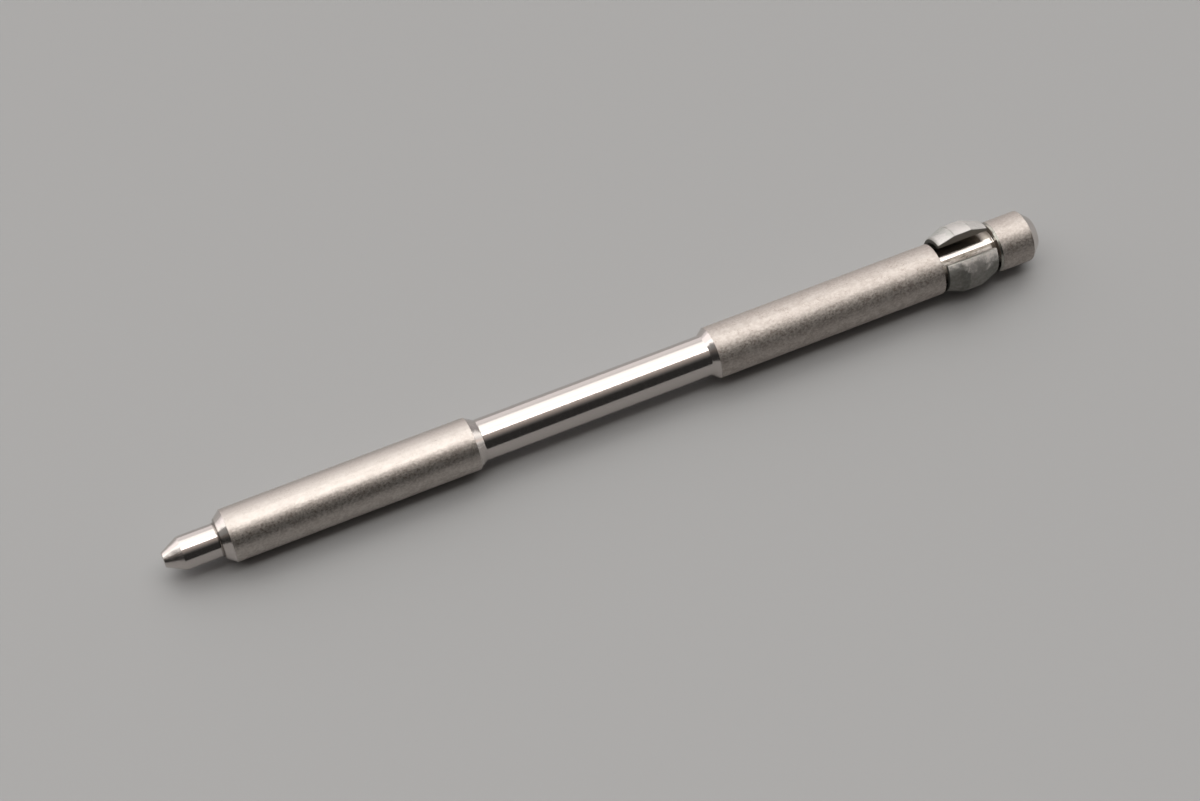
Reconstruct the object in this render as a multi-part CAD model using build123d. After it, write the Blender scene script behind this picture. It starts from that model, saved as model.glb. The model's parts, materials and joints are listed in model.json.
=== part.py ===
from build123d import *
import os

# Guide pin of a brake caliper with its retaining sleeve, in millimetres.
# The pin lies along X, its nose towards -X and its head towards +X, with Z up.
# The origin is on the pin's axis, where the land beside the head ends and the sleeve's groove begins.

# Pin: diameters of the turned steps
bar_diameter = 8.0             # both lands and the head keep the bar's full size
waist_diameter = 6.3
nose_diameter = 5.05
tip_diameter = 2.2
groove_diameter = 5.6
head_end_diameter = 5.2

# Pin: lengths of the turned steps, from the tip to the head
cone_length = 2.7
nose_length = 5.55
shoulder_chamfer_length = 1.35
nose_land_length = 37.35
waist_entry_length = 1.35      # chamfer down to the waist, on the nose's side
waist_length = 36.0
waist_exit_length = 1.1        # chamfer up again, on the head's side
head_land_length = 37.5
head_rim_length = 0.35
head_length = 5.25
head_end_chamfer_length = 1.5

# Pin: small forms at the steps
shoulder_face = 0.43           # flat ring between the nose and the shoulder's chamfer
head_rim_depth = 0.25
nose_fillet = 0.3              # in the corner between the nose and the shoulder's face
waist_fillet = 0.3
groove_fillet = 0.15
edge_break = 0.12              # tumbled edges of the lands and the head

# Retaining sleeve: a split spring ring, crowned outside and straight inside
sleeve_length = 8.4
sleeve_crest_length = 2.9
sleeve_crest_wall = 1.62
sleeve_end_wall = 0.62
sleeve_end_round = 0.25        # rolled outer corners at both ends
slot_angle = 46.6              # how far the split stands open, in degrees
slot_lean = 16.5               # the slot's middle, from straight up towards -Y, in degrees
slot_edge_break = 0.18         # round both cut faces of the slot

# How the sleeve sits in its groove
sleeve_radial_play = 0.76      # bore radius less groove radius
sleeve_seat_clearance = 0.03   # left under the pin where it lies in the sleeve's bore
land_side_gap = 0.4
head_side_gap = 0.8

# Radii and stations worked out from the sizes above
bar_radius = bar_diameter / 2
waist_radius = waist_diameter / 2
nose_radius = nose_diameter / 2
groove_radius = groove_diameter / 2
groove_width = land_side_gap + sleeve_length + head_side_gap
bore_radius = groove_radius + sleeve_radial_play
sleeve_lift = sleeve_radial_play - sleeve_seat_clearance


def profile_points():
    """The half profile of the pin from the tip's centre to the head's centre, with each corner's radius."""
    waist_end = -head_land_length - waist_exit_length
    waist_start = waist_end - waist_length
    nose_land_end = waist_start - waist_entry_length
    nose_land_start = nose_land_end - nose_land_length
    shoulder = nose_land_start - shoulder_chamfer_length
    cone_end = shoulder - nose_length
    tip = cone_end - cone_length
    head_start = groove_width + head_rim_length
    head_corner = head_start + head_length
    head_end = head_corner + head_end_chamfer_length
    return [
        ((tip, 0), 0),
        ((tip, tip_diameter / 2), edge_break),
        ((cone_end, nose_radius), 0),
        ((shoulder, nose_radius), nose_fillet),
        ((shoulder, nose_radius + shoulder_face), 0),
        ((nose_land_start, bar_radius), edge_break),
        ((nose_land_end, bar_radius), edge_break),
        ((waist_start, waist_radius), waist_fillet),
        ((waist_end, waist_radius), waist_fillet),
        ((-head_land_length, bar_radius), edge_break),
        ((0, bar_radius), edge_break),
        ((0, groove_radius), groove_fillet),
        ((groove_width, groove_radius), groove_fillet),
        ((groove_width, bar_radius - head_rim_depth), 0),
        ((head_start, bar_radius), 0),
        ((head_corner, bar_radius), edge_break),
        ((head_end, head_end_diameter / 2), edge_break),
        ((head_end, 0), 0),
    ]


def make_pin():
    """The pin, turned from one bar: its half profile turned about the X axis."""
    corners = profile_points()
    points = [point for point, radius in corners]
    radii = [radius for point, radius in corners]
    with BuildPart() as pin:
        with BuildSketch(Plane.XZ):
            with BuildLine():
                FilletPolyline(*points, radius=radii[1:-1])
                Line(points[-1], points[0])
            make_face()
        revolve(axis=Axis.X)
    return pin.part


def make_sleeve():
    """The split sleeve: its wall's section turned about the bore's axis, short of a full turn by the slot."""
    start = land_side_gap
    end = start + sleeve_length
    ramp_length = (sleeve_length - sleeve_crest_length) / 2
    end_radius = bore_radius + sleeve_end_wall
    crest_radius = bore_radius + sleeve_crest_wall
    section = [
        (start, bore_radius),
        (start, end_radius),
        (start + ramp_length, crest_radius),
        (end - ramp_length, crest_radius),
        (end, end_radius),
        (end, bore_radius),
    ]
    rounds = [0, sleeve_end_round, 0, 0, sleeve_end_round, 0]
    with BuildPart() as sleeve:
        with BuildSketch(Plane.XZ):
            with BuildLine():
                FilletPolyline(*section, radius=rounds, close=True)
            make_face()
        revolve(axis=Axis.X, revolution_arc=360 - slot_angle)
        flat_faces = sleeve.faces().filter_by(GeomType.PLANE)
        cut_faces = [face for face in flat_faces if abs(face.normal_at().X) < 0.5]
        fillet([edge for face in cut_faces for edge in face.edges()], slot_edge_break)
    return sleeve.part


def seat_sleeve(sleeve):
    """Turns the slot to where it leans and lifts the sleeve until the pin lies in its bore."""
    turned = Rot(X=slot_lean + slot_angle / 2) * sleeve
    return Pos(0, 0, sleeve_lift) * turned


os.makedirs("parts", exist_ok=True)
export_step(make_pin(), "parts/pin.step")
export_step(seat_sleeve(make_sleeve()), "parts/spring_sleeve.step")
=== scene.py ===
import json
import math

import bpy
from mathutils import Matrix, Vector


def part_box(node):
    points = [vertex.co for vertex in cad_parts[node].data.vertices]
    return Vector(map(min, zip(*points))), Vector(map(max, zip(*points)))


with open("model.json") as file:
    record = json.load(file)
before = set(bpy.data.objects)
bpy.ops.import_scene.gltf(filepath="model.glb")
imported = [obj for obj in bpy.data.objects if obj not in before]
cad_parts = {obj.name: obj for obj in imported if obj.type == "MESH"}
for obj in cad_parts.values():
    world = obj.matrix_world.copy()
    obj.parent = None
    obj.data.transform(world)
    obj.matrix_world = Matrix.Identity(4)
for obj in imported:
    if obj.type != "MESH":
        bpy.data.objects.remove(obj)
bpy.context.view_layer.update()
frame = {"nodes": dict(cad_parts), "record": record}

MM = 0.001

# Camera, as it stood over the pin, in metres and degrees; lens and sensor in millimetres
CAMERA_PLACE = (-0.13786, -0.18245, 0.30726)
CAMERA_TURN = -24.29
CAMERA_TILT_DOWN = 57.04
CAMERA_LENS = 75.0
CAMERA_SENSOR = 36.0
CAMERA_REACH = (0.01, 200.0)
FLOOR_HALF = 30.0              # metres from the floor's middle to each of its sides

# How exactly places are told on the meshes, in metres
FULL_SIZE_SLACK = 0.02 * MM
SPAN_GAP = 0.01 * MM
SHORTEST_SPAN = 1.0 * MM
HAIR = 0.001 * MM

# Colours, linear
FLOOR_GREY = (0.275, 0.275, 0.275, 1.0)
TUMBLED_STEEL = (0.565, 0.52, 0.483, 1.0)
TUMBLED_DULL = (0.465, 0.41, 0.375, 1.0)
FLECK_BROWN = (0.27, 0.215, 0.18, 1.0)
SPECK_DARK = (0.20, 0.165, 0.14, 1.0)
SPECK_PALE = (0.80, 0.755, 0.70, 1.0)
TURNED_STEEL = (0.67, 0.622, 0.59, 1.0)
SHADED_RIM = (0.40, 0.39, 0.35, 1.0)
GROOVE_WORN = (0.49, 0.44, 0.385, 1.0)
GROOVE_GRIME_AND_SHADE = (0.18, 0.15, 0.125, 1.0)
ZINC = (0.66, 0.637, 0.617, 1.0)
ZINC_DULL = (0.465, 0.475, 0.445, 1.0)
ZINC_DARK = (0.30, 0.29, 0.26, 1.0)
CREST_WORN = (0.67, 0.63, 0.608, 1.0)
FRONT_SHADE = (0.13, 0.13, 0.12, 1.0)
PALE_EDGE = (0.90, 0.86, 0.82, 1.0)
CUT_FACE = (0.36, 0.34, 0.31, 1.0)
CUT_END_SHADE = (0.11, 0.11, 0.10, 1.0)

# Patterns, as about so many marks to the metre, and the depth of their relief in metres
LATHE_DRIFT = 300.0
SCRATCH_PATCHES = 400.0
PIN_GRAIN = 3400.0
PIN_BLOTCHES = 700.0
PIN_RINGS = 9000.0
PIN_RELIEF = 0.000025
GROOVE_DASHES = 3600.0
SLEEVE_GRAIN = 3800.0
SLEEVE_BLOTCHES = 420.0
SLEEVE_SMUDGES = 330.0
SHADE_BORDER_MARKS = 600.0
SLEEVE_BLOTS = 1500.0
CROSS_SCRATCHES = 9500.0
SKEW_SCRATCHES = 15000.0
RUB_STREAKS = 3000.0
SLEEVE_RELIEF = 0.000015

# Directions of the scratches on the sleeve, as turns in radians, and how much there is of the streaks
CROSS_TURN = (0.0, 0.0, 0.6)
SKEW_TURN = (0.3, -0.2, -0.3)
STREAK_TURN = (0.0, 0.0, 0.8)
STREAK_AMOUNT = 1.2

# How patterns are scaled along X, Y and Z; a small factor draws the marks out that way
DRUM_STRETCH = (0.8, 1.0, 1.0)
CHATTER_STRETCH = (1.0, 0.15, 0.15)
SCRATCH_STRETCH = (0.06, 1.0, 1.0)
DASH_STRETCH = (0.3, 1.0, 1.0)
ACROSS_PIN = (0.0, 1.0, 1.0)   # leaves only the part of a direction across the pin

# Patterns inside the grain of the drum and the lathe's marks, as scales against the grain or the rings
DOTS_SCALE = 0.85
SATIN_SCALE = 2.7
DENTS_SCALE = 0.5
PITS_SCALE = 1.9
BROAD_RINGS_SCALE = 0.15
RING_DRIFT = 0.2 * MM
# and how much each adds
DOTS_SHARE = 0.75
BLOTCHES_SHARE = 0.25
SATIN_RELIEF = 0.5
DENTS_RELIEF = 0.6
CHATTER_RELIEF = 2.0

# Where a pattern counts as a mark: it begins at the first value and is full at the second
GRAIN_CUT = (0.32, 0.68)
BROAD_RINGS_CUT = (0.35, 0.65)
PITS_CUT = (0.62, 0.72)
PATCHES_CUT = (0.4, 0.6)
DASHES_CUT = (0.42, 0.72)
SMUDGES_CUT = (0.45, 0.58)
BLOTS_CUT = (0.38, 0.62)
SCRATCHES_CUT = 0.72           # where a scratch begins when its amount is 0
SCRATCHES_CUT_DROP = 0.14      # how much lower it begins when its amount is 1
SCRATCHES_CUT_WIDTH = 0.05
EDGE_CUT = (0.995, 0.93)       # how far a rounded edge still looks the way of its face

# Tumbled steel, as pairs: first on the nose's side of the waist, then on the head's side
TUMBLED_TONE = (0.35, 0.72)
TUMBLED_DULLNESS = (0.02, 0.12)
TUMBLED_FLECKS = (0.45, 0.75)
TUMBLED_SPECKS = (0.95, 0.75)
TUMBLED_RELIEF = (0.7, 0.9)

# How plainly each mark on the pin shows, from 0 to 1
FRONT_SPECKS_LEFT = 0.2        # of them, where they are thinned
BACK_SPECKS = 0.45
END_EDGE_SHADE = 0.8
NOOK_SHADE = 0.7
STRIP_GRIME = 0.9
UNDER_SLEEVE_SHADE = 0.6
PALE_LINE_SHARES = (0.2, 0.5)  # everywhere, and more towards the sleeve's two ends
PALE_LINE_LEFT = 0.3
RINGS_RELIEF = 0.1

# How plainly each mark on the sleeve shows, from 0 to 1
SMUDGES = 0.5
GRAIN_DULLING = 0.25
STREAK_DULLING = 0.4
SCRATCHES = 0.45
SCRATCH_DEPTH = 0.15           # against the grain's height
CORNER_DARKENING = (0.3, 0.7)       # everywhere in the corner, and more in the smudges
CORNER_DULLING = 0.9
CORNER_DARK_SHARE = 0.7
BLOT_SHARES = (0.6, 1.0)       # of the painted shade, outside the blots and in them
ROLLED_END_SHADE = 0.6
FRONT_SHADE_SHARE = 0.6
LOWER_FRONT_SHADE = 0.7         # of that
ROUNDING_DARKENING = 0.8
CREST_RUB = 0.5                # of the rub on the edges
RUB = 0.8                      # less where there are streaks

# Roughness; the pairs go from the clean parts of a pattern to its dull ones
TUMBLED_ROUGH = (0.37, 0.46)
DEEPER_ROUGH = 0.095           # added on the head's side of the waist
TURNED_ROUGH = (0.11, 0.16)
STRIP_ROUGH = 0.48             # added where the groove's floor is worn
DULL_END_ROUGH = 0.3           # added on the floor near the sleeve's end
RIM_ROUGH = 0.1
CONE_ROUGH = 0.08
ZINC_ROUGH = (0.55, 0.62)
ZINC_RUBBED_ROUGH = 0.56
PALE_EDGE_ROUGH = 0.72
FLOOR_ROUGH = 0.5
FLOOR_SHEEN = 0.9

# Angles round the pin, in degrees from straight up towards -Y; in each pair a mark begins and is full, or
# begins to fade and is gone
SPECKS_FRONT = (14.0, 44.0)
SPECKS_THINNED = (42.0, 72.0)
SPECKS_BACK = (-85.0, -50.0)
FLOOR_BEHIND = (-120.0, -90.0)
FLOOR_BEHIND_ENDS = (-2.0, 2.0)

# Angles below the front cut edge of the sleeve's slot, in degrees, as the same pairs
STRIP_TOP = (-24.5, -20.5)
STRIP_FOOT = (10.0, 30.0)
PALE_LINE_TOP = (-17.0, -10.0)
PALE_LINE_FOOT = (-8.0, -2.0)
SLOT_ROUND_TOP = (-3.0, -1.0)
SLOT_ROUND_FOOT = (1.0, 3.0)
SHADE_TOP = (2.0, 36.0)
SHADE_WANDER = 75.0            # how far the painted shade's upper border runs up and down, in all
SHADE_RISE = 5.0               # how much higher it begins near the sleeve's end towards the nose
PALE_EDGE_FOOT = (2.0, 24.0)
CREST_SHADE_TOP = (10.0, 21.0)
FRONT_SHADE_TOP = (10.0, 38.0)
FRONT_SHADE_FOOT = (85.0, 115.0)

# Places along the pin, in metres from the sleeve's end at the head
GAP_SHADE = (0.0, 0.2 * MM)
DULL_END = (-1.8 * MM, -0.4 * MM)
PALE_LINE_AT_NOSE = (-6.6 * MM, -5.8 * MM)
PALE_LINE_AT_HEAD = (-3.6 * MM, -2.2 * MM)

# Lengths of other marks on the pin, in metres
SHADED_RIM_LENGTH = 0.4 * MM           # the rim with its corner, up to where the head has its full size
WEAR_ENDS = 0.3 * MM           # the groove's wear, before the head's full size begins
SHADE_LINE_WIDTH = (0.1 * MM, 0.3 * MM)
NOOK_FROM_SHOULDER = 0.1 * MM

# Places on the sleeve, in metres: along it from the middle of its crest, and outward from its crest
CREST_SHADE_START = (-3.7 * MM, -2.0 * MM)
CREST_SHADE_END = (-1.4 * MM, -0.7 * MM)
SHADE_RISE_ENDS = (-2.4 * MM, -1.0 * MM)
ROLLED_END = (-4.1 * MM, -3.6 * MM)
CREST_RUBBED = (-0.1 * MM, -0.03 * MM)
CORNER_DEPTH = (-0.2 * MM, -0.1 * MM)
CORNER_WIDTH = (0.02 * MM, 0.18 * MM)
RUBBED_EDGE = 0.08 * MM

# How far a face of the sleeve looks outward, or along the pin, when it counts as one that does
FACING_OUT = (0.3, 0.8)
FACING_ALONG = (0.4, 0.8)

# Light: angles over the pin in degrees, 0 behind it, 90 straight up and 180 in front, and sides as the X of
# a direction; in each pair an edge begins and is full, or begins to fade and is gone
BOX_BACK_SIDES = (-0.6, 0.25)  # the back edge runs aslant from here to here, and over these angles
BOX_BACK_OVER = (10.0, 38.0)
BOX_BACK_SOFT = (-2.0, 3.0)
BOX_FRONT = (97.0, 103.0)
BOX_NOSE_OVER = (40.0, 80.0)   # and the nose end between these angles, over these sides
BOX_NOSE_SIDES = (-0.92, -0.735)
BOX_NOSE_SOFT = (-0.03, 0.03)
BOX_HEAD = (0.6, 0.8)
HEAD_WALL = (0.88, 0.92)
# the strength of the box's lamps at its back, and what is added from one angle over the pin to another
LAMP_STRENGTH = 1.5
LAMP_STEPS = ((40.0, 62.0, 0.65), (62.0, 82.0, -0.65), (82.0, 100.0, 3.64))
# strengths of the walls: the angle or side where one begins to change and where it stops, its values before
# and after; several of them are multiplied
WALL_STRENGTHS = ((100.0, 142.0, 0.82, 0.047), (50.0, 98.0, 1.0, 0.6), (20.0, 42.0, 1.2, 1.0))
WALL_TOWARDS_HEAD = (0.4, 0.85, 1.0, 0.36)
NOSE_WALL_STRENGTH = (60.0, 150.0, 0.32, 0.03)
HEAD_WALL_STRENGTHS = ((60.0, 95.0, 1.5, 0.95), (130.0, 165.0, 1.0, 0.4))
# tints, with the angles over the pin where one goes over into the next
BEHIND_TINT = (1.0, 0.95, 0.955, 1.0)
OVER_TINT = (1.0, 0.985, 0.965, 1.0)
WARM_TINT = (1.0, 0.89, 0.83, 1.0)
OVER_TINT_FROM = (10.0, 50.0)
WARM_FROM = (96.0, 104.0)
WARM_UNTIL = (120.0, 135.0)


def node(tree, kind, values=None, **settings):
    """Adds a node of one kind, sets its properties and the values of its inputs, and returns it."""
    made = tree.nodes.new(kind)
    for name, value in settings.items():
        setattr(made, name, value)
    for key, value in (values or {}).items():
        if isinstance(value, bpy.types.NodeSocket):
            tree.links.new(value, made.inputs[key])
        else:
            made.inputs[key].default_value = value
    return made


def maths(tree, operation, *values):
    """The result of one arithmetic step on numbers or sockets."""
    return node(tree, "ShaderNodeMath", dict(enumerate(values)), operation=operation).outputs[0]


def times(tree, first, second):
    """One mask or number times another."""
    return maths(tree, "MULTIPLY", first, second)


def larger(tree, first, second):
    """Two masks laid over each other."""
    return maths(tree, "MAXIMUM", first, second)


def left_of(tree, mask):
    """What a mask leaves free."""
    return maths(tree, "SUBTRACT", 1.0, mask)


def raised(tree, value, mask, amount):
    """A value with some amount added where a mask says so."""
    return maths(tree, "MULTIPLY_ADD", mask, amount, value)


def ramp(tree, value, low, high, to_low=0.0, to_high=1.0, shape="SMOOTHSTEP"):
    """A rise of value from low to high, smooth unless the shape says LINEAR, clamped at both ends."""
    inputs = {"Value": value, "From Min": low, "From Max": high, "To Min": to_low, "To Max": to_high}
    made = node(tree, "ShaderNodeMapRange", inputs, interpolation_type=shape, clamp=True)
    return made.outputs["Result"]


def fade(tree, value, edge, left=0.0):
    """A mask that is 1 before an edge and falls over the edge's width to what is left."""
    return ramp(tree, value, *edge, 1.0, left)


def band(tree, value, start, end, left=0.0):
    """A mask that rises over its start and falls over its end to what is left."""
    return times(tree, ramp(tree, value, *start), fade(tree, value, end, left))


def between(tree, value, low, high):
    """A hard mask that is 1 from low to high."""
    return times(tree, maths(tree, "GREATER_THAN", value, low), maths(tree, "LESS_THAN", value, high))


def distance(tree, value, place):
    """How far a value is from a place, either way."""
    return maths(tree, "ABSOLUTE", maths(tree, "SUBTRACT", value, place))


def mix_colour(tree, share, first, second):
    """Two colours mixed by a share from 0 to 1."""
    return node(tree, "ShaderNodeMix", {0: share, 6: first, 7: second}, data_type="RGBA").outputs[2]


def mix_value(tree, share, first, second):
    """Two numbers mixed by a share from 0 to 1."""
    return node(tree, "ShaderNodeMix", {0: share, 2: first, 3: second}, data_type="FLOAT").outputs[0]


def parts_of(tree, vector):
    """The X, Y and Z of a vector."""
    return node(tree, "ShaderNodeSeparateXYZ", {0: vector}).outputs


def stretch(tree, place, factors):
    """A place scaled along each axis, which draws a pattern out where the factor is small."""
    made = node(tree, "ShaderNodeVectorMath", {0: place, 1: factors}, operation="MULTIPLY")
    return made.outputs["Vector"]


def noise(tree, place, scale, detail=2.0, rough=0.5, distortion=0.0):
    """A soft uneven pattern over the surface, about 0.5 on the whole."""
    values = {"Vector": place, "Scale": scale, "Detail": detail, "Roughness": rough,
              "Distortion": distortion}
    return node(tree, "ShaderNodeTexNoise", values).outputs["Fac"]


def noise_along(tree, along, scale):
    """The same kind of pattern along one length only."""
    values = {"W": along, "Scale": scale}
    return node(tree, "ShaderNodeTexNoise", values, noise_dimensions="1D").outputs["Fac"]


def bump(tree, shader, height, depth):
    """Feeds a height, in units of depth, into the shader's normal."""
    made = node(tree, "ShaderNodeBump", {"Height": height, "Strength": 1.0, "Distance": depth})
    tree.links.new(made.outputs["Normal"], shader.inputs["Normal"])


def angle_down_the_front(tree, place):
    """The angle of a place round the X axis, in degrees from straight up towards -Y."""
    parts = parts_of(tree, place)
    front = times(tree, parts["Y"], -1.0)
    return maths(tree, "DEGREES", maths(tree, "ARCTAN2", front, parts["Z"]))


def new_material(name):
    """A material with a Principled shader; returns it with its tree and its shader."""
    material = bpy.data.materials.new(name)
    material.use_nodes = True
    return material, material.node_tree, material.node_tree.nodes["Principled BSDF"]


def new_group(name, inputs, outputs):
    """An empty shader group; returns the group, the inputs to draw from and the outputs to feed."""
    group = bpy.data.node_groups.new(name, "ShaderNodeTree")
    for label, kind, default in inputs:
        socket = group.interface.new_socket(label, in_out="INPUT", socket_type=kind)
        if default is not None:
            socket.default_value = default
    for label in outputs:
        group.interface.new_socket(label, in_out="OUTPUT", socket_type="NodeSocketFloat")
    return group, group.nodes.new("NodeGroupInput").outputs, group.nodes.new("NodeGroupOutput").inputs


def use_group(tree, group, values):
    """Places a shader group in a material with its own values and returns its outputs."""
    return node(tree, "ShaderNodeGroup", values, node_tree=group).outputs


def mount(name):
    """A mount, which the record places by its middle: that middle, its radius and half its length."""
    found = next(each for each in frame["record"]["mounts"] if each["name"] == name)
    return found["pos_m"], found["dims"]["r_mm"] * MM, found["dims"]["length_mm"] * MM / 2


def mount_span(name):
    """Where such a mount begins and ends along X, in metres."""
    middle, _, half_length = mount(name)
    return middle[0] - half_length, middle[0] + half_length


def full_size_spans(name):
    """The stretches along X, in metres, where the turned bar keeps its full radius."""
    mesh = frame["nodes"][name].data
    radius = [math.hypot(v.co.y, v.co.z) for v in mesh.vertices]
    full = max(radius) - FULL_SIZE_SLACK
    spans = []
    for face in mesh.polygons:
        if all(radius[i] > full for i in face.vertices):
            along = [mesh.vertices[i].co.x for i in face.vertices]
            spans.append((min(along), max(along)))
    joined = []
    for low, high in sorted(spans):
        if joined and low < joined[-1][1] + SPAN_GAP:
            joined[-1][1] = max(joined[-1][1], high)
        elif high > low:
            joined.append([low, high])
    return [tuple(span) for span in joined if span[1] - span[0] > SHORTEST_SPAN]


def slot_front_edge():
    """Where the sleeve's slot ends in front, in degrees round the sleeve from straight up towards -Y."""
    centre = mount("sleeve_crest")[0]
    around = sorted(math.degrees(math.atan2(centre[1] - v.co.y, v.co.z - centre[2]))
                    for v in frame["nodes"]["spring_sleeve"].data.vertices)
    gaps = [(high - low, high) for low, high in zip(around, around[1:])]
    return max(gaps)[1]


def make_grain_group():
    """Grain of the tumbling drum over softer blotches: a tone, a height and sparse dark flecks."""
    group, start, end = new_group(
        "tumbled_grain",
        [("Place", "NodeSocketVector", None), ("Grain", "NodeSocketFloat", 3000.0),
         ("Blotch", "NodeSocketFloat", 900.0)],
        ["Tone", "Height", "Flecks"],
    )
    # the drum's marks are a little longer along the pin than across it
    place = stretch(group, start["Place"], DRUM_STRETCH)
    grain = start["Grain"]
    soft = noise(group, place, start["Blotch"])
    dots = noise(group, place, times(group, grain, DOTS_SCALE), detail=4.0, rough=0.6)
    tone = raised(group, times(group, soft, BLOTCHES_SHARE), dots, DOTS_SHARE)
    group.links.new(ramp(group, tone, *GRAIN_CUT), end["Tone"])
    fine = noise(group, place, grain, detail=1.0)
    satin = noise(group, place, times(group, grain, SATIN_SCALE), rough=0.6)
    dents = noise(group, place, times(group, grain, DENTS_SCALE), detail=0.0)
    height = raised(group, fine, satin, SATIN_RELIEF)
    group.links.new(raised(group, height, dents, DENTS_RELIEF), end["Height"])
    pits = noise(group, place, times(group, grain, PITS_SCALE), detail=1.0)
    sparse = times(group, ramp(group, pits, *PITS_CUT), ramp(group, soft, *PATCHES_CUT))
    group.links.new(sparse, end["Flecks"])
    return group


def make_turning_group():
    """Marks of the lathe: rings round the X axis, as a tone and a height."""
    group, start, end = new_group(
        "turning_marks",
        [("Place", "NodeSocketVector", None), ("Rings", "NodeSocketFloat", 9000.0)],
        ["Tone", "Height"],
    )
    place = start["Place"]
    # a slow drift along and round the axis keeps the rings from being perfect
    drift = noise(group, place, LATHE_DRIFT)
    along = raised(group, parts_of(group, place)["X"], drift, RING_DRIFT)
    broad = noise_along(group, along, times(group, start["Rings"], BROAD_RINGS_SCALE))
    group.links.new(ramp(group, broad, *BROAD_RINGS_CUT), end["Tone"])
    # the tool's chatter: short waves that run a little way round
    rings = noise_along(group, along, start["Rings"])
    chatter = noise(group, stretch(group, place, CHATTER_STRETCH), start["Rings"])
    group.links.new(raised(group, rings, chatter, CHATTER_RELIEF), end["Height"])
    return group


def make_scratch_group():
    """Fine scratches across a surface in one direction, as a mask of thin broken lines."""
    group, start, end = new_group(
        "fine_scratches",
        [("Place", "NodeSocketVector", None), ("Turn", "NodeSocketVector", (0.0, 0.0, 0.0)),
         ("Lines", "NodeSocketFloat", 4000.0), ("Amount", "NodeSocketFloat", 0.5)],
        ["Mask"],
    )
    turned = node(group, "ShaderNodeVectorRotate", {"Vector": start["Place"], "Rotation": start["Turn"]},
                  rotation_type="EULER_XYZ").outputs["Vector"]
    drawn_out = stretch(group, turned, SCRATCH_STRETCH)
    lines = noise(group, drawn_out, start["Lines"], detail=1.0, distortion=0.2)
    # the larger the amount, the more of the pattern counts as a scratch
    low = maths(group, "SUBTRACT", SCRATCHES_CUT, times(group, start["Amount"], SCRATCHES_CUT_DROP))
    thin = ramp(group, lines, low, maths(group, "ADD", low, SCRATCHES_CUT_WIDTH))
    patches = ramp(group, noise(group, turned, SCRATCH_PATCHES), *PATCHES_CUT)
    group.links.new(times(group, thin, patches), end["Mask"])
    return group


def make_edge_group():
    """Rubbed edges: a mask that is 1 on an edge and fades over its width."""
    group, start, end = new_group("rubbed_edges", [("Width", "NodeSocketFloat", 0.0002)], ["Mask"])
    rounded = node(group, "ShaderNodeBevel", {"Radius": start["Width"]}, samples=4).outputs["Normal"]
    own = node(group, "ShaderNodeNewGeometry").outputs["Normal"]
    alike = node(group, "ShaderNodeVectorMath", {0: rounded, 1: own}, operation="DOT_PRODUCT")
    group.links.new(ramp(group, alike.outputs["Value"], *EDGE_CUT), end["Mask"])
    return group


def tumbled_finish(tree, grain, around, along, spans):
    """Matte steel out of the drum: its colour, roughness and height."""
    # the tumbling bit deeper on the head's side of the waist
    waist_middle = (spans[0][1] + spans[1][0]) / 2
    deep = maths(tree, "GREATER_THAN", along, waist_middle)
    tone = grain["Tone"]
    dull = mix_value(tree, deep, *TUMBLED_DULLNESS)
    dull = raised(tree, dull, tone, mix_value(tree, deep, *TUMBLED_TONE))
    colour = mix_colour(tree, dull, TUMBLED_STEEL, TUMBLED_DULL)
    flecks = times(tree, grain["Flecks"], mix_value(tree, deep, *TUMBLED_FLECKS))
    colour = mix_colour(tree, flecks, colour, FLECK_BROWN)
    # both flanks are speckled, dark and pale, the front one more, while the top is rubbed clean
    front = band(tree, around, SPECKS_FRONT, SPECKS_THINNED, FRONT_SPECKS_LEFT)
    flanks = larger(tree, front, ramp(tree, around, *SPECKS_BACK, BACK_SPECKS, 0.0))
    flanks = times(tree, flanks, mix_value(tree, deep, *TUMBLED_SPECKS))
    colour = mix_colour(tree, flanks, colour, mix_colour(tree, tone, SPECK_PALE, SPECK_DARK))
    # painted shade: the head's end edge is darkened on the front
    end_edge = ramp(tree, distance(tree, along, spans[-1][1]), *SHADE_LINE_WIDTH, END_EDGE_SHADE, 0.0)
    colour = mix_colour(tree, times(tree, front, end_edge), colour, SPECK_DARK)
    rough = raised(tree, ramp(tree, tone, 0.0, 1.0, *TUMBLED_ROUGH), deep, DEEPER_ROUGH)
    return colour, rough, times(tree, grain["Height"], mix_value(tree, deep, *TUMBLED_RELIEF))


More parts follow.
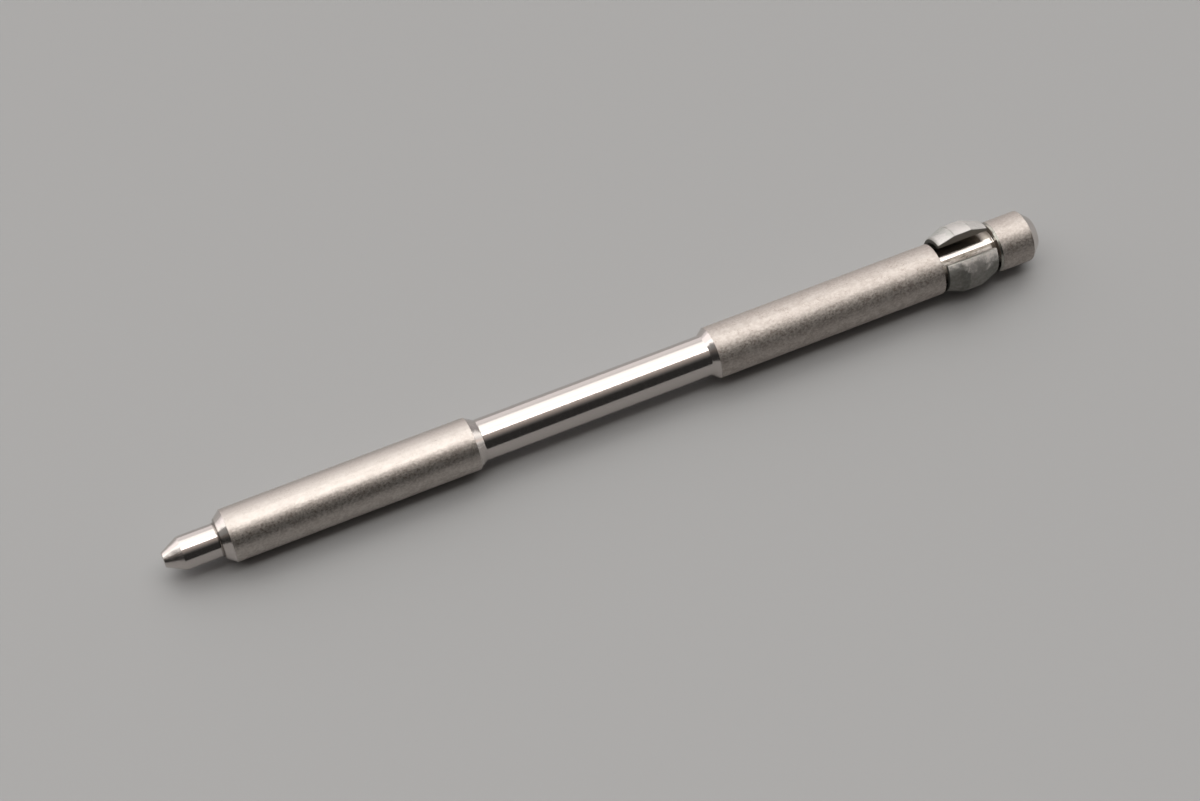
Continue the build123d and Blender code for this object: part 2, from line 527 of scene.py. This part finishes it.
def groove_wear_and_painted_light(tree, place, around, along, groove):
    """Masks on the groove: strip and end worn by the sleeve, grime with painted shade, and a painted
    highlight line.
    """
    below_edge = maths(tree, "SUBTRACT", around, slot_front_edge())
    sleeve_end = max(v.co.x for v in frame["nodes"]["spring_sleeve"].data.vertices)
    from_end = maths(tree, "SUBTRACT", along, sleeve_end)
    # the sleeve's front cut edge has worn a dull, dirty strip into the floor
    strip = times(tree, groove, band(tree, below_edge, STRIP_TOP, STRIP_FOOT))
    dashes = noise(tree, stretch(tree, place, DASH_STRETCH), GROOVE_DASHES, detail=4.0, rough=0.65)
    grime_and_shade = times(tree, strip, ramp(tree, dashes, *DASHES_CUT, 0.0, STRIP_GRIME))
    # painted shade: the strip is darkest in the gap past the sleeve's end
    grime_and_shade = larger(tree, grime_and_shade, times(tree, strip, ramp(tree, from_end, *GAP_SHADE)))
    # behind the bright band the floor gets painted shade under the sleeve and is dull near the sleeve's end
    behind = times(tree, groove, band(tree, around, FLOOR_BEHIND, FLOOR_BEHIND_ENDS))
    near_end = ramp(tree, from_end, *DULL_END)
    dull_end = times(tree, behind, near_end)
    under_sleeve = times(tree, behind, left_of(tree, near_end))
    grime_and_shade = larger(tree, grime_and_shade, times(tree, under_sleeve, UNDER_SLEEVE_SHADE))
    # painted highlight: a paler line just before the cut edge, plainest towards the sleeve's two ends
    ends = larger(tree, fade(tree, from_end, PALE_LINE_AT_NOSE), ramp(tree, from_end, *PALE_LINE_AT_HEAD))
    pale_line = band(tree, below_edge, PALE_LINE_TOP, PALE_LINE_FOOT, PALE_LINE_LEFT)
    everywhere, more_at_ends = PALE_LINE_SHARES
    pale_line = times(tree, pale_line, raised(tree, everywhere, ends, more_at_ends))
    return strip, dull_end, grime_and_shade, pale_line


def turned_finish(tree, rings, place, around, along, spans):
    """Bright steel off the lathe with its wear and painted shade: its colour, roughness and height."""
    head_start = spans[-1][0]
    groove = between(tree, along, spans[1][1], head_start - WEAR_ENDS)
    strip, dull_end, grime_and_shade, pale_line = groove_wear_and_painted_light(tree, place, around, along, groove)
    # painted shade: a dark line in the corner between the nose and its shoulder
    cone_end, shoulder = mount_span("nose_pilot")
    nook = ramp(tree, distance(tree, along, shoulder - NOOK_FROM_SHOULDER), *SHADE_LINE_WIDTH, NOOK_SHADE, 0.0)
    # painted shade: the head's narrow rim keeps its bright turned finish but is coloured dark
    rim = between(tree, along, head_start - SHADED_RIM_LENGTH, head_start + HAIR)
    # the cone was turned more coarsely than the rest
    cone = maths(tree, "LESS_THAN", along, cone_end)
    colour = mix_colour(tree, rim, TURNED_STEEL, SHADED_RIM)
    worn_and_highlight_colour = mix_colour(tree, pale_line, GROOVE_WORN, PALE_EDGE)
    colour = mix_colour(tree, larger(tree, strip, dull_end), colour, worn_and_highlight_colour)
    # grime in the groove, with painted shade in the nook, under the sleeve and in the gap past its end
    colour = mix_colour(tree, larger(tree, grime_and_shade, nook), colour, GROOVE_GRIME_AND_SHADE)
    rough = ramp(tree, rings["Tone"], 0.0, 1.0, *TURNED_ROUGH)
    rough = raised(tree, rough, strip, STRIP_ROUGH)
    rough = raised(tree, rough, dull_end, DULL_END_ROUGH)
    rough = raised(tree, rough, rim, RIM_ROUGH)
    rough = raised(tree, rough, cone, CONE_ROUGH)
    return colour, rough, times(tree, rings["Height"], RINGS_RELIEF)


def make_pin_material(groups):
    """Steel bar: tumbled matte where it keeps its full size, bright turned on every step."""
    material, tree, shader = new_material("pin_steel")
    place = node(tree, "ShaderNodeTexCoord").outputs["Object"]
    along = parts_of(tree, place)["X"]
    around = angle_down_the_front(tree, place)
    spans = full_size_spans("pin")
    grain = use_group(tree, groups["grain"], {"Place": place, "Grain": PIN_GRAIN, "Blotch": PIN_BLOTCHES})
    rings = use_group(tree, groups["turning"], {"Place": place, "Rings": PIN_RINGS})
    tumbled_colour, tumbled_rough, tumbled_height = tumbled_finish(tree, grain, around, along, spans)
    turned_colour, turned_rough, turned_height = turned_finish(tree, rings, place, around, along, spans)
    matte = 0.0
    for low, high in spans:
        matte = maths(tree, "ADD", matte, between(tree, along, low, high))
    tree.links.new(mix_colour(tree, matte, turned_colour, tumbled_colour), shader.inputs["Base Color"])
    tree.links.new(mix_value(tree, matte, turned_rough, tumbled_rough), shader.inputs["Roughness"])
    shader.inputs["Metallic"].default_value = 1.0
    bump(tree, shader, mix_value(tree, matte, turned_height, tumbled_height), PIN_RELIEF)
    return material


def scratches(tree, groups, place, turn, lines, amount=0.5):
    """A mask of fine scratches, which would run along X but for the turn, in radians."""
    values = {"Place": place, "Turn": turn, "Lines": lines, "Amount": amount}
    return use_group(tree, groups["scratches"], values)["Mask"]


def crest_corner(tree, along, over_crest, half_crest, smudge):
    """A thin darker line in the corner where each ramp of the sleeve meets the crest."""
    crest_end = distance(tree, maths(tree, "ABSOLUTE", along), half_crest)
    corner = times(tree, ramp(tree, over_crest, *CORNER_DEPTH), fade(tree, crest_end, CORNER_WIDTH))
    everywhere, more_in_smudges = CORNER_DARKENING
    return times(tree, corner, raised(tree, everywhere, smudge, more_in_smudges))


def shade_border(tree, place, along, below_slot):
    """The angle below the slot, wandering up and down, as the border of the painted shade down the front.
    """
    wander = maths(tree, "SUBTRACT", noise(tree, place, SHADE_BORDER_MARKS, detail=4.0, rough=0.65), 0.5)
    border = raised(tree, below_slot, wander, SHADE_WANDER)
    return maths(tree, "ADD", border, ramp(tree, along, *SHADE_RISE_ENDS, SHADE_RISE, 0.0))


def front_shade_mask(tree, along, below_slot):
    """Painted shade that gets darker down the front and is darkest beside the crest, towards the nose."""
    beside_crest = band(tree, along, CREST_SHADE_START, CREST_SHADE_END)
    shade = times(tree, beside_crest, ramp(tree, below_slot, *CREST_SHADE_TOP))
    shade = larger(tree, shade, ramp(tree, below_slot, *FRONT_SHADE_TOP, 0.0, LOWER_FRONT_SHADE))
    return times(tree, shade, fade(tree, below_slot, FRONT_SHADE_FOOT))


def cut_masks(tree, from_crest):
    """The faces where the sleeve was cut: a mask of all of them, and one of those at its two ends."""
    # they look neither outward nor inward, and those at the ends look along the pin
    facing = node(tree, "ShaderNodeTexCoord").outputs["Normal"]
    outward = stretch(tree, from_crest, ACROSS_PIN)
    outward = node(tree, "ShaderNodeVectorMath", {0: outward}, operation="NORMALIZE").outputs["Vector"]
    outward = node(tree, "ShaderNodeVectorMath", {0: outward, 1: facing}, operation="DOT_PRODUCT")
    cut = fade(tree, maths(tree, "ABSOLUTE", outward.outputs["Value"]), FACING_OUT)
    return cut, ramp(tree, maths(tree, "ABSOLUTE", parts_of(tree, facing)["X"]), *FACING_ALONG)


def make_sleeve_material(groups):
    """Zinc-plated spring steel: rubbed on crest and edges, scratched, dull where cut, painted shade on
    front and ends.
    """
    material, tree, shader = new_material("sleeve_zinc")
    place = node(tree, "ShaderNodeTexCoord").outputs["Object"]
    crest_middle, crest_radius, half_crest = mount("sleeve_crest")
    from_crest = node(tree, "ShaderNodeVectorMath", {0: place, 1: crest_middle}, operation="SUBTRACT")
    from_crest = from_crest.outputs["Vector"]
    parts = parts_of(tree, from_crest)
    along = parts["X"]
    radius = maths(tree, "SQRT", maths(tree, "ADD", maths(tree, "POWER", parts["Y"], 2.0),
                                       maths(tree, "POWER", parts["Z"], 2.0)))
    over_crest = maths(tree, "SUBTRACT", radius, crest_radius)
    below_slot = maths(tree, "SUBTRACT", angle_down_the_front(tree, from_crest), slot_front_edge())

    # plating, dulled by smudges, streaks, scratches and the darker line at the crest
    grain = use_group(tree, groups["grain"],
                      {"Place": place, "Grain": SLEEVE_GRAIN, "Blotch": SLEEVE_BLOTCHES})
    tone = grain["Tone"]
    marks = larger(tree, scratches(tree, groups, place, CROSS_TURN, CROSS_SCRATCHES),
                   scratches(tree, groups, place, SKEW_TURN, SKEW_SCRATCHES))
    streaks = scratches(tree, groups, place, STREAK_TURN, RUB_STREAKS, STREAK_AMOUNT)
    smudge = ramp(tree, noise(tree, place, SLEEVE_SMUDGES), *SMUDGES_CUT)
    corner = crest_corner(tree, along, over_crest, half_crest, smudge)
    dulled = raised(tree, times(tree, tone, GRAIN_DULLING), smudge, SMUDGES)
    dulled = raised(tree, dulled, streaks, STREAK_DULLING)
    dulled = larger(tree, dulled, times(tree, corner, CORNER_DULLING))
    dulled = larger(tree, dulled, times(tree, marks, SCRATCHES))
    colour = mix_colour(tree, dulled, ZINC, ZINC_DULL)

    # painted shade down the front, broken by blots, and on the rolled end towards the nose; the corners are
    # darkened too
    border = shade_border(tree, place, along, below_slot)
    darkened = times(tree, ramp(tree, border, *SHADE_TOP), fade(tree, below_slot, FRONT_SHADE_FOOT))
    blots = noise(tree, place, SLEEVE_BLOTS, detail=3.0, rough=0.6)
    darkened = times(tree, darkened, ramp(tree, blots, *BLOTS_CUT, *BLOT_SHARES))
    darkened = larger(tree, darkened, times(tree, corner, CORNER_DARK_SHARE))
    # painted shade on the rolled end towards the nose
    rolled_end = fade(tree, along, ROLLED_END)
    darkened = larger(tree, darkened, times(tree, rolled_end, ROLLED_END_SHADE))
    colour = mix_colour(tree, darkened, colour, ZINC_DARK)
    # painted shade, darker down the front and darkest beside the crest towards the nose
    shade = front_shade_mask(tree, along, below_slot)
    colour = mix_colour(tree, times(tree, shade, FRONT_SHADE_SHARE), colour, FRONT_SHADE)
    # the rounding of the slot's front edge itself is dull
    rounding = band(tree, below_slot, SLOT_ROUND_TOP, SLOT_ROUND_FOOT)
    colour = mix_colour(tree, times(tree, rounding, ROUNDING_DARKENING), colour, ZINC_DARK)

    # crest and edges are rubbed bright, but not in the corners, under the painted front shade, or at the
    # two dull places
    edges = use_group(tree, groups["edges"], {"Width": RUBBED_EDGE})["Mask"]
    bright = larger(tree, times(tree, ramp(tree, over_crest, *CREST_RUBBED), CREST_RUB), edges)
    bright = times(tree, bright, left_of(tree, corner))
    unrubbed = larger(tree, larger(tree, rounding, rolled_end), shade)
    bright = times(tree, bright, left_of(tree, unrubbed))
    bright_share = times(tree, bright, raised(tree, RUB, streaks, -STREAK_DULLING))
    colour = mix_colour(tree, bright_share, colour, CREST_WORN)
    # just below the slot's front edge the metal is painted pale: partly rubbed, partly a painted highlight
    pale_edge = times(tree, ramp(tree, below_slot, *SLOT_ROUND_FOOT), fade(tree, border, PALE_EDGE_FOOT))
    colour = mix_colour(tree, pale_edge, colour, PALE_EDGE)
    cut, cut_end = cut_masks(tree, from_crest)
    # painted shade: the cut faces at the sleeve's two ends are nearly black
    colour = mix_colour(tree, cut, colour, mix_colour(tree, cut_end, CUT_FACE, CUT_END_SHADE))

    tree.links.new(colour, shader.inputs["Base Color"])
    rough = mix_value(tree, bright, ramp(tree, tone, 0.0, 1.0, *ZINC_ROUGH), ZINC_RUBBED_ROUGH)
    tree.links.new(mix_value(tree, pale_edge, rough, PALE_EDGE_ROUGH), shader.inputs["Roughness"])
    shader.inputs["Metallic"].default_value = 1.0
    bump(tree, shader, raised(tree, grain["Height"], marks, -SCRATCH_DEPTH), SLEEVE_RELIEF)
    return material


def make_floor():
    """A wide pale satin floor that touches the nose's land and the sleeve's crest."""
    mesh = bpy.data.meshes.new("floor")
    pin_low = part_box("pin")[0]
    sleeve_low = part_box("spring_sleeve")[0]
    first_land = full_size_spans("pin")[0][0]
    crest_start = mount_span("sleeve_crest")[0]
    slope = (sleeve_low.z - pin_low.z) / (crest_start - first_land)
    sides = ((-FLOOR_HALF, -FLOOR_HALF), (FLOOR_HALF, -FLOOR_HALF), (FLOOR_HALF, FLOOR_HALF),
             (-FLOOR_HALF, FLOOR_HALF))
    corners = [(x, y, pin_low.z + slope * (x - first_land)) for x, y in sides]
    mesh.from_pydata(corners, [], [(0, 1, 2, 3)])
    floor = bpy.data.objects.new("floor", mesh)
    bpy.context.scene.collection.objects.link(floor)
    material, tree, shader = new_material("floor_grey")
    shader.inputs["Base Color"].default_value = FLOOR_GREY
    shader.inputs["Roughness"].default_value = FLOOR_ROUGH
    shader.inputs["Specular IOR Level"].default_value = FLOOR_SHEEN
    mesh.materials.append(material)


def softbox(tree, over, side, past_nose):
    """A mask of the softbox, which hangs askew: its back edge and its nose end both run aslant."""
    back = maths(tree, "SUBTRACT", over, ramp(tree, side, *BOX_BACK_SIDES, *BOX_BACK_OVER))
    box = times(tree, ramp(tree, back, *BOX_BACK_SOFT), fade(tree, over, BOX_FRONT))
    box = times(tree, box, left_of(tree, past_nose))
    return times(tree, box, fade(tree, side, BOX_HEAD))


def wall_light(tree, over, side, past_nose):
    """The strength of the walls: pale behind, dim beyond the nose, dark in front, bright past the head."""
    walls = ramp(tree, side, *WALL_TOWARDS_HEAD)
    for steps in WALL_STRENGTHS:
        walls = times(tree, walls, ramp(tree, over, *steps))
    walls = mix_value(tree, past_nose, walls, ramp(tree, over, *NOSE_WALL_STRENGTH))
    beyond_head = 1.0
    for steps in HEAD_WALL_STRENGTHS:
        beyond_head = times(tree, beyond_head, ramp(tree, over, *steps))
    return mix_value(tree, ramp(tree, side, *HEAD_WALL), walls, beyond_head)


def make_light():
    """The soft studio round the pin: a wide softbox over and behind it, pale walls, a dim front."""
    world = bpy.data.worlds.new("studio")
    bpy.context.scene.world = world
    world.use_nodes = True
    tree = world.node_tree
    toward = parts_of(tree, node(tree, "ShaderNodeTexCoord").outputs["Generated"])
    side = toward["X"]
    over = maths(tree, "DEGREES", maths(tree, "ARCTAN2", toward["Z"], toward["Y"]))
    nose_end = maths(tree, "SUBTRACT", side, ramp(tree, over, *BOX_NOSE_OVER, *BOX_NOSE_SIDES))
    past_nose = fade(tree, nose_end, BOX_NOSE_SOFT)
    # the box glows softly, a little more over the pin's back and most along its own front edge
    lamps = LAMP_STRENGTH
    for low, high, change in LAMP_STEPS:
        lamps = maths(tree, "ADD", lamps, ramp(tree, over, low, high, 0.0, change, shape="LINEAR"))
    box = softbox(tree, over, side, past_nose)
    strength = mix_value(tree, box, wall_light(tree, over, side, past_nose), lamps)
    tint = mix_colour(tree, ramp(tree, over, *OVER_TINT_FROM), BEHIND_TINT, OVER_TINT)
    # its front edge and the wall just in front of it are warmer
    tint = mix_colour(tree, band(tree, over, WARM_FROM, WARM_UNTIL), tint, WARM_TINT)
    background = tree.nodes["Background"]
    tree.links.new(tint, background.inputs["Color"])
    tree.links.new(strength, background.inputs["Strength"])


def make_camera():
    """The camera where the photograph was taken from."""
    data = bpy.data.cameras.new("camera")
    data.lens = CAMERA_LENS
    data.sensor_width = CAMERA_SENSOR
    data.clip_start, data.clip_end = CAMERA_REACH
    camera = bpy.data.objects.new("camera", data)
    camera.location = CAMERA_PLACE
    camera.rotation_euler = (math.radians(90 - CAMERA_TILT_DOWN), 0, math.radians(CAMERA_TURN))
    bpy.context.scene.collection.objects.link(camera)
    bpy.context.scene.camera = camera


def dress(name, material):
    """Gives a CAD node its finish."""
    slots = frame["nodes"][name].data.materials
    slots.clear()
    slots.append(material)


groups = {
    "grain": make_grain_group(),
    "turning": make_turning_group(),
    "scratches": make_scratch_group(),
    "edges": make_edge_group(),
}
dress("pin", make_pin_material(groups))
dress("spring_sleeve", make_sleeve_material(groups))
make_floor()
make_light()
make_camera()
bpy.context.scene.view_settings.view_transform = "Standard"
